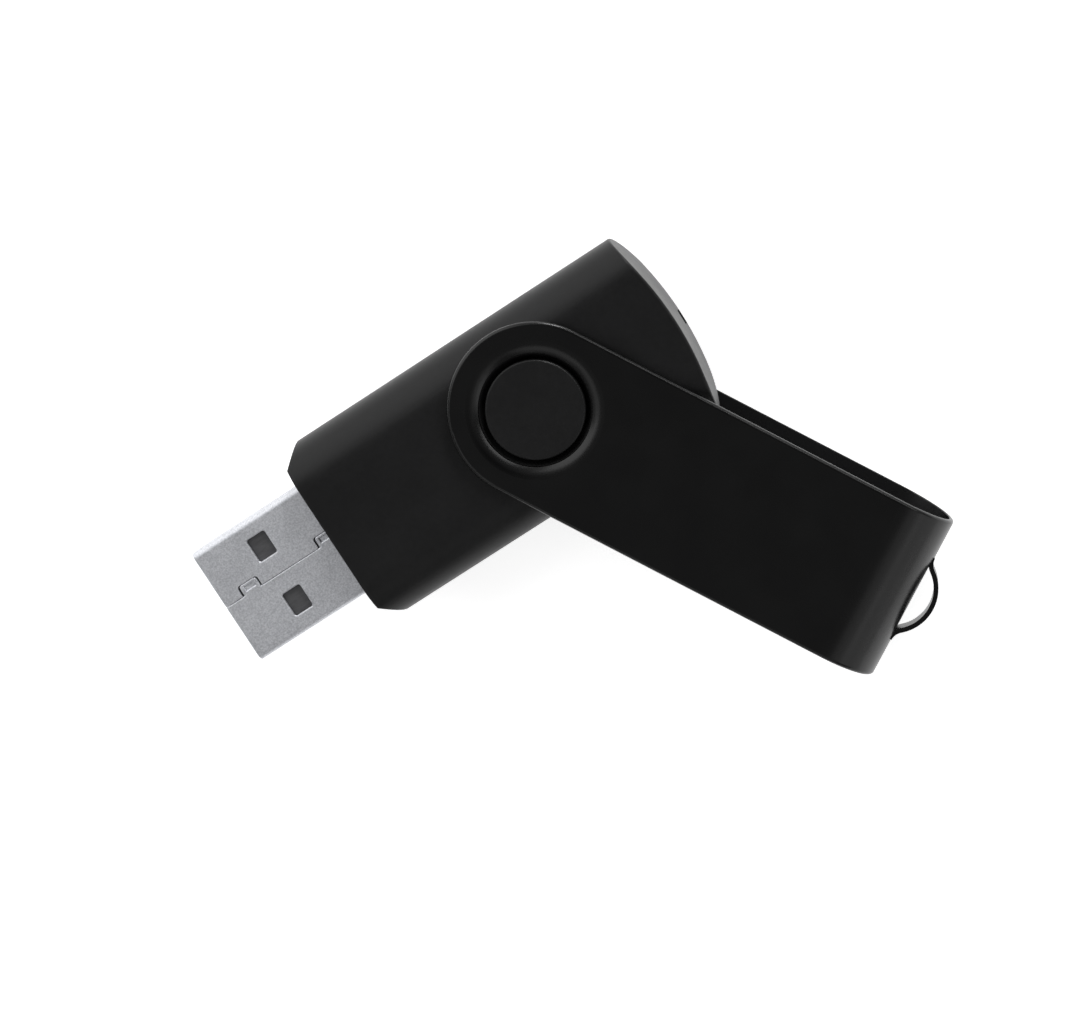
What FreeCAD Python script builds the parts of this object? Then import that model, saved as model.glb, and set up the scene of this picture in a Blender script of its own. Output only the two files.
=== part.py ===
import FreeCAD, Part
import math
import os

# A pocket memory stick. A plastic housing of two half shells holds a type A plug and a small
# circuit board. A strip of metal folded into a U turns about two round bosses on the housing.
#
# Frame: millimetres. The origin is on the pivot axis, in the outer face of the clip's lower leaf,
# which is the face that the object rests on. +Z runs up the pivot axis, and the plug points
# along -X. Pieces are drawn about the middle of the object's thickness and lifted when saved.

Vec = FreeCAD.Vector

# ---- driving dimensions ----------------------------------------------------------------------

# Plug, a standard type A shell
PLUG_WIDTH = 12.0
PLUG_HEIGHT = 4.5
PLUG_WALL = 0.3
PLUG_CORNER = 0.65
PLUG_REACH = 12.4           # shell that stands out of the housing
PLUG_BURIED = 6.1           # shell inside the housing
PLUG_LEAD_IN = 0.12         # rounding of the shell's mouth
WINDOW_LENGTH = 2.0
WINDOW_WIDTH = 2.4
WINDOW_CORNER = 0.22
WINDOW_SETBACK = 5.15       # from the mouth to the windows
WINDOW_SPREAD = 6.1         # between the centres of a pair of windows
SEAM_GAP = 0.02
SEAM_STEP = 1.05            # how far a dovetail tab reaches across the seam
SEAM_TAB_STARTS = (1.95, 10.6)
SEAM_TAB_LENGTH = 2.2
SEAM_TAB_CORNER = 0.3
SEAM_END_GAP = 0.16         # wider gap at both ends of a tab
PRESS_SETBACK = 0.6         # shallow press mark in each tab
PRESS_LENGTH = 1.05
PRESS_WIDTH = 0.42
PRESS_DEPTH = 0.16
DIE_ROUND = 0.15            # rounding of the sheet's punched edges on the outside
EAR_LENGTH = 2.6            # the shell's two side ears, soldered to the board
EAR_HEIGHT = 1.8

# Housing
HOUSING_WIDTH = 19.0
HOUSING_HEIGHT = 8.8
SIDE_RADIUS = 4.2           # the long sides are nearly half round
HOUSING_FRONT = 23.1        # from the pivot axis to the front face
HOUSING_REAR = 15.4         # from the pivot axis to the middle of the rear face
REAR_RADIUS = 31.6          # the rear face is an arc in plan
FRONT_CHAMFER = 1.8
HOUSING_WALL = 1.1
FRONT_WALL = 1.6
EDGE_ROUND = 0.2
REAR_ROUND = 0.25           # rounding all round the rear face
LIP_HEIGHT = 0.8            # tongue of the upper shell that enters the lower one
LIP_THICKNESS = 0.45
RIB_THICKNESS = 1.0         # bulkhead that holds the plug's rear end

# Pivot
BOSS_RADIUS = 4.7
BOSS_SINK = 0.25            # the boss ends this far below the clip's outer face
SHOULDER_RADIUS = 5.3       # the clip's hole turns on this shoulder
SHOULDER_TOP_SINK = 0.6     # from the clip's outer face down to the shoulder's top
SHOULDER_LAND = 0.05        # flat top of the shoulder, outside the groove round the boss
GROOVE_DEPTH = 1.4
MOAT_FLOOR_GAP = 0.3
MOAT_SIDE_GAP = 0.3
MOAT_WALL = 0.95

# Clip
CLIP_WIDTH = 16.5
CLIP_SHEET = 0.5
CLIP_SIDE_GAP = 0.6         # between each leaf and the housing
CLIP_END_GAP = 2.9          # between the plug's corner, as it swings past, and the inside of the bend
CLIP_OUTER_ROUND = 0.36     # the sheet's edges, on the outside of the clip
CLIP_INNER_ROUND = 0.1
CLIP_ANGLE = -60.3          # direction of the clip from +X as it stands; closed is 180
FLANGE_ROUND = 2.0          # outer radius of the dish that the hole's rim is pressed into
DISH_WIDTH = 1.15           # from the start of the dish to the hole

# Key ring bow, a strip of the bend that is slit free and pushed out
BOW_SPAN = 8.7
BOW_STRIP = 2.4
BOW_THICKNESS = 0.45
BOW_RISE = 2.1              # from the outside of the bend to the outside of the bow
BOW_FOOT_RADIUS = 1.3
BOW_SLIT = 0.15

# Fits and clearances
TURNING_FIT = 0.05          # radial, the clip's hole on its shoulder
SEAT_FIT = 0.05             # pieces that seat in one another
CONTACT_FIT = 0.02          # contacts in the grooves of the insulator
ROOM = 0.2                  # loose pieces inside the housing

# Circuit board
BOARD_SIDE_GAP = 1.4
BOARD_THICKNESS = 0.8
BOARD_REAR_GAP = 0.6
POST_RADIUS = 1.1
PIN_RADIUS = 0.6
PIN_HEIGHT = 1.2
POST_INSET = 1.3            # from the board's edges to a post's axis
REST_RADIUS = 0.6           # posts that hold the board's rear end
REST_INSET = 0.75

# Plug contacts and their insulator
CONTACT_WIDTH = 1.0
CONTACT_THICKNESS = 0.25
DATA_OFFSET = 1.0           # from the middle to the two data contacts
POWER_OFFSET = 3.5          # from the middle to the two power contacts
DATA_SETBACK = 2.3          # from the mouth to the tip of a data contact
POWER_SETBACK = 1.3
TAIL_LENGTH = 2.4
TONGUE_SETBACK = 0.4
CONTACT_PROUD = 0.05        # the contacts stand this far out of the tongue
BLOCK_LENGTH = 5.4
SOLDER_LENGTH = 1.5
SOLDER_MARGIN = 0.25
SOLDER_HEIGHT = 0.4

# Electronic parts: length, width, height
FLASH_BODY = (18.4, 12.0, 1.0)
FLASH_SPAN = 20.0           # over the leads
FLASH_LEADS = 24            # along each end
FLASH_REAR_MARGIN = 1.5
CONTROLLER_BODY = (7.0, 7.0, 1.4)
CONTROLLER_SPAN = 9.0
CONTROLLER_LEADS = 12       # along each side
CONTROLLER_GAP = 0.8        # from the posts to the controller's leads
LEAD_PITCH = 0.5
LEAD_WIDTH = 0.22
LEAD_THICKNESS = 0.13
LEAD_FOOT = 0.45
LEAD_SHOULDER = 0.15
STANDOFF = 0.1              # air under a leaded body
PIN_MARK_RADIUS = 0.5
PIN_MARK_DEPTH = 0.06
CRYSTAL_BODY = (5.0, 3.2, 1.1)
REGULATOR_BODY = (2.9, 1.3, 1.0)
REGULATOR_SPAN = 2.4
REGULATOR_PITCH = 0.95
LED_BODY = (1.0, 1.6, 0.7)
RESISTOR_BODY = (1.6, 0.8, 0.45)
CAPACITOR_BODY = (1.6, 0.8, 0.8)
CHIP_CAP = 0.3              # metal end of a chip part
CHIP_CAP_PROUD = 0.02
CHIP_ROW_PITCH = 2.6

# Light slot low in the rear wall
SLOT_WIDTH = 1.5
SLOT_HEIGHT = 1.5
SLOT_OFFSET = -0.5          # across the housing
SLOT_FLOOR = 0.7            # plastic left under the slot
PIPE_SINK = 0.15            # the light pipe ends this far inside the rear face

# ---- derived places --------------------------------------------------------------------------

HALF_HEIGHT = HOUSING_HEIGHT / 2
MID = HALF_HEIGHT + CLIP_SIDE_GAP + CLIP_SHEET
PLUG_MOUTH = -HOUSING_FRONT - PLUG_REACH
CLIP_REACH = math.hypot(PLUG_MOUTH, PLUG_WIDTH / 2) + CLIP_END_GAP + CLIP_SHEET
PLUG_END = -HOUSING_FRONT + PLUG_BURIED
CAVITY_HALF = HALF_HEIGHT - HOUSING_WALL
BOSS_TOP = MID - BOSS_SINK
SHOULDER_TOP = MID - SHOULDER_TOP_SINK
HOLE_RADIUS = SHOULDER_RADIUS + TURNING_FIT
FLANGE_END = MID - FLANGE_ROUND + math.sqrt((FLANGE_ROUND - CLIP_SHEET) ** 2 - DISH_WIDTH ** 2)
MOAT_FLOOR = FLANGE_END - MOAT_FLOOR_GAP
MOAT_RADIUS = HOLE_RADIUS + CLIP_SHEET + MOAT_SIDE_GAP
MOAT_CEILING = MOAT_FLOOR - MOAT_WALL
INNER_HALF_WIDTH = PLUG_WIDTH / 2 - PLUG_WALL
INNER_HALF_HEIGHT = PLUG_HEIGHT / 2 - PLUG_WALL
BOARD_WIDTH = HOUSING_WIDTH - 2 * (HOUSING_WALL + BOARD_SIDE_GAP)
BOARD_TOP = 0.0
BOARD_UNDER = BOARD_TOP - BOARD_THICKNESS
BOARD_FRONT = PLUG_END + ROOM
BOARD_STEP = PLUG_END + EAR_LENGTH + ROOM
BOARD_NECK = INNER_HALF_WIDTH - SEAT_FIT
POST_X = BOARD_STEP + POST_INSET
POST_Y = BOARD_WIDTH / 2 - POST_INSET
FAR = 100.0                 # reach of a cutting block


def rear_x(y, inset):
    """X of the rear face, moved inwards by inset, at a distance y from the middle."""
    return HOUSING_REAR - REAR_RADIUS + math.sqrt((REAR_RADIUS - inset) ** 2 - y ** 2)


BOARD_REAR = rear_x(BOARD_WIDTH / 2, HOUSING_WALL) - BOARD_REAR_GAP
REST_X = BOARD_REAR - REST_INSET
FLASH_X = BOARD_REAR - FLASH_REAR_MARGIN - FLASH_SPAN / 2
CONTROLLER_X = POST_X + POST_RADIUS + CONTROLLER_GAP + CONTROLLER_SPAN / 2
CONTROLLER_END = CONTROLLER_X + CONTROLLER_SPAN / 2
ROW_LENGTHS = (CRYSTAL_BODY[0], RESISTOR_BODY[0], CAPACITOR_BODY[0])
ROW_GAP = (REST_X - REST_RADIUS - CONTROLLER_END - sum(ROW_LENGTHS)) / (len(ROW_LENGTHS) + 1)
CRYSTAL_X = CONTROLLER_END + ROW_GAP + CRYSTAL_BODY[0] / 2
RESISTOR_X = CRYSTAL_X + (CRYSTAL_BODY[0] + RESISTOR_BODY[0]) / 2 + ROW_GAP
CAPACITOR_X = RESISTOR_X + (RESISTOR_BODY[0] + CAPACITOR_BODY[0]) / 2 + ROW_GAP
SLOT_BOTTOM = -HALF_HEIGHT + SLOT_FLOOR
SLOT_TOP = SLOT_BOTTOM + SLOT_HEIGHT
SLOT_INNER = rear_x(abs(SLOT_OFFSET) + SLOT_WIDTH / 2, HOUSING_WALL) - SEAT_FIT


# ---- helpers ---------------------------------------------------------------------------------

def block(x0, x1, y0, y1, z0, z1):
    """Box between two corners."""
    return Part.makeBox(x1 - x0, y1 - y0, z1 - z0, Vec(x0, y0, z0))


def standing_block(size, x, y, z0):
    """Box of a given size, centred on x and y, that stands on z0."""
    length, width, height = size
    return block(x - length / 2, x + length / 2, y - width / 2, y + width / 2, z0, z0 + height)


def drum(radius, z0, z1, x=0.0, y=0.0):
    """Upright cylinder between two heights."""
    return Part.makeCylinder(radius, z1 - z0, Vec(x, y, z0))


def rounded_bar(x0, x1, half_width, half_height, radius):
    """Bar along X, centred on the axis, with a rounded rectangular section."""
    bar = block(x0, x1, -half_width, half_width, -half_height, half_height)
    lengthways = [edge for edge in bar.Edges if abs(edge.tangentAt(edge.FirstParameter).x) > 0.9]
    return bar.makeFillet(radius, lengthways)


def upright_edges(shape):
    """The straight edges of a block that run along Z."""
    return [edge for edge in shape.Edges if abs(edge.tangentAt(edge.FirstParameter).z) > 0.9]


def turned_over(shape):
    """The same shape after half a turn about X."""
    return shape.rotated(Vec(0, 0, 0), Vec(1, 0, 0), 180)


def union(shapes):
    """One clean solid from shapes that touch or overlap."""
    return shapes[0].multiFuse(shapes[1:]).removeSplitter()


def face_of(edges):
    """Flat face inside a closed chain of edges."""
    return Part.Face(Part.Wire(edges))


def polygon_face(points):
    """Flat face inside a closed polygon."""
    return Part.Face(Part.makePolygon(list(points) + [points[0]]))


def arc(start, middle, end):
    """Edge through three points."""
    return Part.Arc(start, middle, end).toShape()


def line(start, end):
    """Straight edge."""
    return Part.LineSegment(start, end).toShape()


def save(name, solids):
    """Lift a piece, given as one solid or a list of them, to the rest face and write it."""
    shape = Part.makeCompound(solids) if isinstance(solids, list) else solids
    if shape.ShapeType != "Solid" and len(shape.Solids) == 1:
        shape = shape.Solids[0]
    lifted = shape.translated(Vec(0, 0, MID))
    lifted.exportStep(f"parts/{name}.step")
    print(f"{name}: {len(lifted.Solids)} solid(s), {lifted.Volume:.2f} mm3, valid {lifted.isValid()}")


# ---- housing ---------------------------------------------------------------------------------

def housing_plan(inset, front_inset):
    """Plan of the housing, moved inwards: chamfered at the front, an arc at the rear."""
    front = -HOUSING_FRONT + front_inset
    side = HOUSING_WIDTH / 2 - inset
    diagonal = HOUSING_WIDTH / 2 - FRONT_CHAMFER - inset * math.sqrt(2)
    front_y = diagonal + front_inset
    side_x = side - diagonal - HOUSING_FRONT
    rear = rear_x(side, inset)
    corners = [(rear, -side), (side_x, -side), (front, -front_y),
               (front, front_y), (side_x, side), (rear, side)]
    points = [Vec(x, y, -FAR) for x, y in corners]
    edges = [line(a, b) for a, b in zip(points, points[1:])]
    edges.append(arc(points[-1], Vec(rear_x(0, inset), 0, -FAR), points[0]))
    return face_of(edges).extrude(Vec(0, 0, 2 * FAR))


def housing_blank(inset, front_inset):
    """The housing's outside, or that shape moved inwards by a wall."""
    bar = rounded_bar(-2 * HOUSING_FRONT, 2 * HOUSING_REAR, HOUSING_WIDTH / 2 - inset,
                      HALF_HEIGHT - inset, SIDE_RADIUS - inset)
    return bar.common(housing_plan(inset, front_inset))


def end_edges(blank, at_rear):
    """Edges round the blank's rear face, or those of its front face and chamfers."""
    chosen = []
    for edge in blank.Edges:
        lengthways = abs(edge.tangentAt(edge.FirstParameter).x) > 0.999 and edge.Length > HOUSING_FRONT
        behind = edge.CenterOfMass.x > 0
        if not lengthways and behind == at_rear:
            chosen.append(edge)
    return chosen


def rounded_blank():
    """The outside with a rounded rear and softened front edges."""
    blank = housing_blank(0, 0)
    blank = blank.makeFillet(REAR_ROUND, end_edges(blank, True))
    return blank.makeFillet(EDGE_ROUND, end_edges(blank, False))


def wall_ring(outer_inset, inner_inset, z0, z1):
    """Ring that follows the side and rear walls between two insets."""
    slab = block(-FAR, FAR, -FAR, FAR, z0, z1)
    outer = housing_blank(outer_inset, FRONT_WALL).common(slab)
    return outer.cut(housing_blank(inner_inset, FRONT_WALL))


def hollow_shell():
    """Both halves in one: outer skin, cavity, plug bulkhead and thick rings under the moats."""
    outside = rounded_blank()
    shell = outside.cut(housing_blank(HOUSING_WALL, FRONT_WALL))
    lining = housing_blank(HOUSING_WALL / 2, FRONT_WALL / 2)
    rib_end = PLUG_END - RIB_THICKNESS
    rib = lining.common(block(rib_end - RIB_THICKNESS, rib_end, -FAR, FAR, -FAR, FAR))
    pieces = [shell, rib]
    for low, high in ((MOAT_CEILING, HALF_HEIGHT - EDGE_ROUND), (EDGE_ROUND - HALF_HEIGHT, -MOAT_CEILING)):
        pad = drum(MOAT_RADIUS + MOAT_WALL, low, high)
        pieces.append(pad.common(lining))
    body = union(pieces)
    passage = rounded_bar(PLUG_MOUTH, PLUG_END, PLUG_WIDTH / 2 + SEAT_FIT, PLUG_HEIGHT / 2 + SEAT_FIT,
                          PLUG_CORNER + SEAT_FIT)
    return body.cut(passage)


def add_boss(half):
    """Cut the moat into the upper face and stand the boss and its shoulder in it."""
    moat = drum(MOAT_RADIUS, MOAT_FLOOR, FAR)
    shoulder = drum(SHOULDER_RADIUS, MOAT_CEILING, SHOULDER_TOP)
    boss = drum(BOSS_RADIUS, MOAT_CEILING, BOSS_TOP)
    top_edge = [edge for edge in boss.Edges if abs(edge.CenterOfMass.z - BOSS_TOP) < 1e-6]
    boss = boss.makeFillet(EDGE_ROUND, top_edge)
    core = drum(BOSS_RADIUS - MOAT_WALL, 0, BOSS_TOP - MOAT_WALL)
    groove = Part.makeCone(BOSS_RADIUS, SHOULDER_RADIUS - SHOULDER_LAND, GROOVE_DEPTH,
                           Vec(0, 0, SHOULDER_TOP - GROOVE_DEPTH))
    half = union([half.cut(moat), shoulder]).cut(groove)
    return union([half, boss]).cut(core)


def board_posts():
    """Front posts with locating pins and rear rests, up to the underside of the board."""
    lining = housing_blank(HOUSING_WALL / 2, FRONT_WALL / 2)
    posts = []
    for side in (1, -1):
        y = side * POST_Y
        posts.append(drum(POST_RADIUS, -HALF_HEIGHT, BOARD_UNDER, POST_X, y).common(lining))
        posts.append(drum(PIN_RADIUS, -CAVITY_HALF, BOARD_TOP + PIN_HEIGHT, POST_X, y))
        posts.append(drum(REST_RADIUS, -HALF_HEIGHT, BOARD_UNDER, REST_X, y).common(lining))
    return posts


def board_hold_downs():
    """Sockets over the locating pins and rests over the board's rear corners."""
    lining = housing_blank(HOUSING_WALL / 2, FRONT_WALL / 2)
    posts = []
    for side in (1, -1):
        y = side * POST_Y
        bottom = BOARD_TOP + SEAT_FIT
        posts.append(drum(POST_RADIUS, bottom, HALF_HEIGHT, POST_X, y).common(lining))
        posts.append(drum(REST_RADIUS, bottom, HALF_HEIGHT, REST_X, y).common(lining))
    return posts


def housing_top():
    """Upper shell: boss, lip and hold-downs."""
    half = hollow_shell().common(block(-FAR, FAR, -FAR, FAR, 0, FAR))
    half = add_boss(half)
    lip = wall_ring(HOUSING_WALL - LIP_THICKNESS, HOUSING_WALL, -LIP_HEIGHT, 0)
    shell = union([half, lip] + board_hold_downs())
    for side in (1, -1):
        socket_top = BOARD_TOP + PIN_HEIGHT + ROOM
        socket = drum(PIN_RADIUS + SEAT_FIT, BOARD_TOP, socket_top, POST_X, side * POST_Y)
        shell = shell.cut(socket)
    return shell


def housing_bottom():
    """Lower shell: boss, rebate for the lip, posts and the light slot."""
    half = turned_over(hollow_shell()).common(block(-FAR, FAR, -FAR, FAR, 0, FAR))
    half = turned_over(add_boss(half))
    shell = union([half] + board_posts())
    rebate = wall_ring(HOUSING_WALL - LIP_THICKNESS - SEAT_FIT, HOUSING_WALL + SEAT_FIT,
                       -LIP_HEIGHT - SEAT_FIT, FAR)
    slot = block(SLOT_INNER, FAR, SLOT_OFFSET - SLOT_WIDTH / 2, SLOT_OFFSET + SLOT_WIDTH / 2,
                 SLOT_BOTTOM, SLOT_TOP)
    return shell.cut(rebate).cut(slot)


def led_light_pipe():
    """Clear guide from the light at the board's edge down and out through the slot."""
    half_width = SLOT_WIDTH / 2 - SEAT_FIT
    y0 = SLOT_OFFSET - half_width
    y1 = SLOT_OFFSET + half_width
    inner_face = SLOT_INNER + SEAT_FIT
    outer_face = rear_x(SLOT_OFFSET, PIPE_SINK)
    foot = block(inner_face, outer_face, y0, y1, SLOT_BOTTOM + SEAT_FIT, SLOT_TOP - SEAT_FIT)
    stem = block(BOARD_REAR + ROOM, inner_face, y0, y1, SEAT_FIT - CAVITY_HALF, -LIP_HEIGHT - ROOM)
    return union([foot, stem])


# ---- clip ------------------------------------------------------------------------------------

def folded_strip():
    """Sheet folded into a U, drawn along +X: two leaves joined by a half round bend."""
    half_width = CLIP_WIDTH / 2

    def hairpin(half):
        """Solid outline of a U of a given half thickness around the same bend centre."""
        bend_x = CLIP_REACH - MID
        leaf_start = -CLIP_WIDTH
        top = Vec(bend_x, -half_width, half)
        bottom = Vec(bend_x, -half_width, -half)
        far_top = Vec(leaf_start, -half_width, half)
        far_bottom = Vec(leaf_start, -half_width, -half)
        nose = arc(top, Vec(bend_x + half, -half_width, 0), bottom)
        edges = [line(far_top, top), nose, line(bottom, far_bottom), line(far_bottom, far_top)]
        return face_of(edges).extrude(Vec(0, CLIP_WIDTH, 0))

    strip = hairpin(MID).cut(hairpin(MID - CLIP_SHEET))
    plan = union([drum(half_width, -FAR, FAR), block(0, FAR, -half_width, half_width, -FAR, FAR)])
    strip = strip.common(plan)
    strip = strip.makeFillet(CLIP_OUTER_ROUND, long_edges(strip, True))
    return strip.makeFillet(CLIP_INNER_ROUND, long_edges(strip, False))


def long_edges(strip, outer):
    """Edges of the strip that follow its outline on the outer or the inner face of the sheet."""
    bend_x = CLIP_REACH - MID
    half_width = CLIP_WIDTH / 2
    depth = MID if outer else MID - CLIP_SHEET
    chosen = []
    for edge in strip.Edges:
        middle = edge.valueAt((edge.FirstParameter + edge.LastParameter) / 2)
        half = math.hypot(max(middle.x - bend_x, 0), middle.z)
        side = middle.y if middle.x > 0 else math.hypot(middle.x, middle.y)
        sideways = abs(edge.tangentAt(edge.FirstParameter).y) > 0.99 and edge.Length > CLIP_WIDTH * 0.9
        if abs(half - depth) < 1e-6 and abs(abs(side) - half_width) < 1e-6 and not sideways:
            chosen.append(edge)
    return chosen


def dished_rim():
    """Rim of the upper hole: the sheet curves down and is bored to the hole's radius."""
    start = HOLE_RADIUS + DISH_WIDTH
    centre = Vec(start, 0, MID - FLANGE_ROUND)

    def on_dish(radius, across):
        """Point of the dish at a distance in from its start, on its upper or lower skin."""
        return centre + Vec(-across, 0, math.sqrt(radius ** 2 - across ** 2))

    under = FLANGE_ROUND - CLIP_SHEET
    top = on_dish(FLANGE_ROUND, 0)
    bore_top = on_dish(FLANGE_ROUND, DISH_WIDTH)
    bore_end = on_dish(under, DISH_WIDTH)
    bottom = on_dish(under, 0)
    edges = [arc(top, on_dish(FLANGE_ROUND, DISH_WIDTH / 2), bore_top), line(bore_top, bore_end),
             arc(bore_end, on_dish(under, DISH_WIDTH / 2), bottom), line(bottom, top)]
    return face_of(edges).revolve(Vec(0, 0, 0), Vec(0, 0, 1), 360)


def key_ring_bow():
    """Strip pushed out of the bend: one arch that runs into the bend through two reversed arcs."""
    half_span = BOW_SPAN / 2
    turn = 2 * math.atan(BOW_RISE / half_span)
    crown = half_span / math.sin(turn) - BOW_FOOT_RADIUS
    base = CLIP_REACH
    crown_centre = Vec(base + BOW_RISE - crown, 0, -BOW_STRIP / 2)

    def side(radius, foot_radius):
        """One face of the strip, from foot to foot, at a given crown radius."""
        pieces = []
        for sign in (-1, 1):
            foot_centre = Vec(base + BOW_FOOT_RADIUS, sign * half_span, -BOW_STRIP / 2)
            start = foot_centre + Vec(-foot_radius, 0, 0)
            half = foot_centre + Vec(-math.cos(turn / 2), -sign * math.sin(turn / 2), 0) * foot_radius
            end = foot_centre + Vec(-math.cos(turn), -sign * math.sin(turn), 0) * foot_radius
            pieces.append((start, half, end))
        low, high = pieces
        top = crown_centre + Vec(radius, 0, 0)
        return [arc(*low), arc(low[2], top, high[2]), arc(*high)], low[0], high[0]

    outer, outer_low, outer_high = side(crown, BOW_FOOT_RADIUS)
    inner, inner_low, inner_high = side(crown - BOW_THICKNESS, BOW_FOOT_RADIUS + BOW_THICKNESS)
    edges = outer + inner + [line(outer_low, inner_low), line(outer_high, inner_high)]
    return Part.Face(Part.Wire(Part.__sortEdges__(edges))).extrude(Vec(0, 0, BOW_STRIP))


def swivel_clip():
    """The whole clip, turned to the angle at which it stands."""
    strip = folded_strip()
    hole = drum(HOLE_RADIUS + DISH_WIDTH, -FAR, FAR)
    flange = dished_rim()
    half_window = BOW_STRIP / 2 + BOW_SLIT
    window = block(CLIP_REACH - MID, FAR, -BOW_SPAN / 2, BOW_SPAN / 2, -half_window, half_window)
    clip = union([strip.cut(hole).cut(window), flange, turned_over(flange), key_ring_bow()])
    return clip.rotated(Vec(0, 0, 0), Vec(0, 0, 1), CLIP_ANGLE)


# ---- plug ------------------------------------------------------------------------------------

def tab_block(front, rear, side):
    """Block with the plan of a seam tab: the two corners away from the seam are rounded."""
    tab = block(front, rear, -PLUG_WIDTH / 4, side, INNER_HALF_HEIGHT - PLUG_WALL / 2, MID)
    corners = [edge for edge in upright_edges(tab) if edge.CenterOfMass.y > 0]
    return tab, corners


def seam_cuts():
    """The rolled shell's seam: it runs along the middle and steps round the dovetail tabs."""
    half = SEAM_GAP / 2
    stops = [PLUG_MOUTH - 1]
    cuts = []
    for start in SEAM_TAB_STARTS:
        tab_front = PLUG_MOUTH + start
        tab_rear = tab_front + SEAM_TAB_LENGTH
        stops += [tab_front, tab_rear]
        socket, corners = tab_block(tab_front - half, tab_rear + half, SEAM_STEP + half)
        socket = socket.makeFillet(SEAM_TAB_CORNER, corners)
        front = tab_front - half + SEAM_END_GAP
        rear = tab_rear + half - SEAM_END_GAP
        tongue, corners = tab_block(front, rear, SEAM_STEP - half)
        tongue = tongue.makeFillet(SEAM_TAB_CORNER - SEAM_GAP, corners)
        cuts.append(socket.cut(tongue).cut(block(-FAR, FAR, -FAR, -half, -FAR, FAR)))
        middle = SEAM_STEP / 2
        cuts.append(block(tab_front + PRESS_SETBACK, tab_front + PRESS_SETBACK + PRESS_LENGTH,
                          middle - PRESS_WIDTH / 2, middle + PRESS_WIDTH / 2,
                          PLUG_HEIGHT / 2 - PRESS_DEPTH, MID))
    stops.append(PLUG_END)
    for front, rear in zip(stops[::2], stops[1::2]):
        cuts.append(block(front - half, rear + half, -half, half, INNER_HALF_HEIGHT - PLUG_WALL / 2, MID))
    return cuts


def on_tongue(point):
    """True for a point on the half of the shell that carries the tabs, near the seam."""
    half = SEAM_GAP / 2
    if point.y < -half + 1e-6:
        return True
    for start in SEAM_TAB_STARTS:
        along = point.x - PLUG_MOUTH - start
        inside = SEAM_END_GAP - half - 1e-6 < along < SEAM_TAB_LENGTH - SEAM_END_GAP + half + 1e-6
        if inside and point.y < SEAM_STEP - half + 1e-6:
            return True
    return False


def punched_edges(shell, height):
    """Edges to round at one height: the windows, the press marks and the tabs' side of the seam."""
    flat = PLUG_WIDTH / 2 - PLUG_CORNER
    mouth = PLUG_MOUTH + PLUG_LEAD_IN
    found = []
    for edge in shell.Edges:
        box = edge.BoundBox
        middle = edge.valueAt((edge.FirstParameter + edge.LastParameter) / 2)
        level = abs(box.ZMin - height) < 1e-6 and abs(box.ZMax - height) < 1e-6
        across = box.YMin > -flat and box.YMax < flat
        along = box.XMin > mouth - 1e-6 and box.XMax < PLUG_END + 1e-6
        along_mouth = box.XMax - mouth < 1e-6
        socket = abs(middle.y) < SEAM_STEP + SEAM_GAP and not on_tongue(middle)
        if level and across and along and not along_mouth and not socket:
            found.append(edge)
    return found


def plug_shell():
    """Rolled sheet shell with latch windows on both faces and two ears at the rear."""
    half_width = PLUG_WIDTH / 2
    half_height = PLUG_HEIGHT / 2
    rear = PLUG_END + EAR_LENGTH
    outside = rounded_bar(PLUG_MOUTH, rear, half_width, half_height, PLUG_CORNER)
    mouth = [edge for edge in outside.Edges if abs(edge.BoundBox.XMax - PLUG_MOUTH) < 1e-6]
    outside = outside.makeFillet(PLUG_LEAD_IN, mouth)
    inside = rounded_bar(PLUG_MOUTH - 1, rear + 1, INNER_HALF_WIDTH, INNER_HALF_HEIGHT,
                         PLUG_CORNER - PLUG_WALL)
    shell = outside.cut(inside)
    window_x = PLUG_MOUTH + WINDOW_SETBACK + WINDOW_LENGTH / 2
    for side in (1, -1):
        size = (WINDOW_LENGTH, WINDOW_WIDTH, 2 * FAR)
        window = standing_block(size, window_x, side * WINDOW_SPREAD / 2, -FAR)
        shell = shell.cut(window.makeFillet(WINDOW_CORNER, upright_edges(window)))
    for cut in seam_cuts():
        shell = shell.cut(cut)
    shell = shell.removeSplitter()
    for height in (-half_height, half_height):
        shell = shell.makeFillet(DIE_ROUND, punched_edges(shell, height))
    ear_middle = (BOARD_TOP + BOARD_UNDER) / 2
    for z0, z1 in ((-FAR, ear_middle - EAR_HEIGHT / 2), (ear_middle + EAR_HEIGHT / 2, FAR)):
        shell = shell.cut(block(PLUG_END, FAR, -FAR, FAR, z0, z1))
    return shell


def contact(offset, setback):
    """One flat contact, from its tip inside the plug to its tail on the board."""
    tip = PLUG_MOUTH + setback
    tail = PLUG_END + TAIL_LENGTH
    half = CONTACT_WIDTH / 2
    strip = block(tip, tail, offset - half, offset + half, BOARD_TOP, BOARD_TOP + CONTACT_THICKNESS)
    tip_edge = [edge for edge in strip.Edges
                if abs(edge.CenterOfMass.x - tip) < 1e-6 and abs(edge.CenterOfMass.z - BOARD_TOP) < 1e-6]
    return strip.makeChamfer(CONTACT_THICKNESS / 2, tip_edge)


CONTACTS = {
    "contact_vbus": (POWER_OFFSET, POWER_SETBACK),
    "contact_data_minus": (DATA_OFFSET, DATA_SETBACK),
    "contact_data_plus": (-DATA_OFFSET, DATA_SETBACK),
    "contact_ground": (-POWER_OFFSET, POWER_SETBACK),
}


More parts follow.
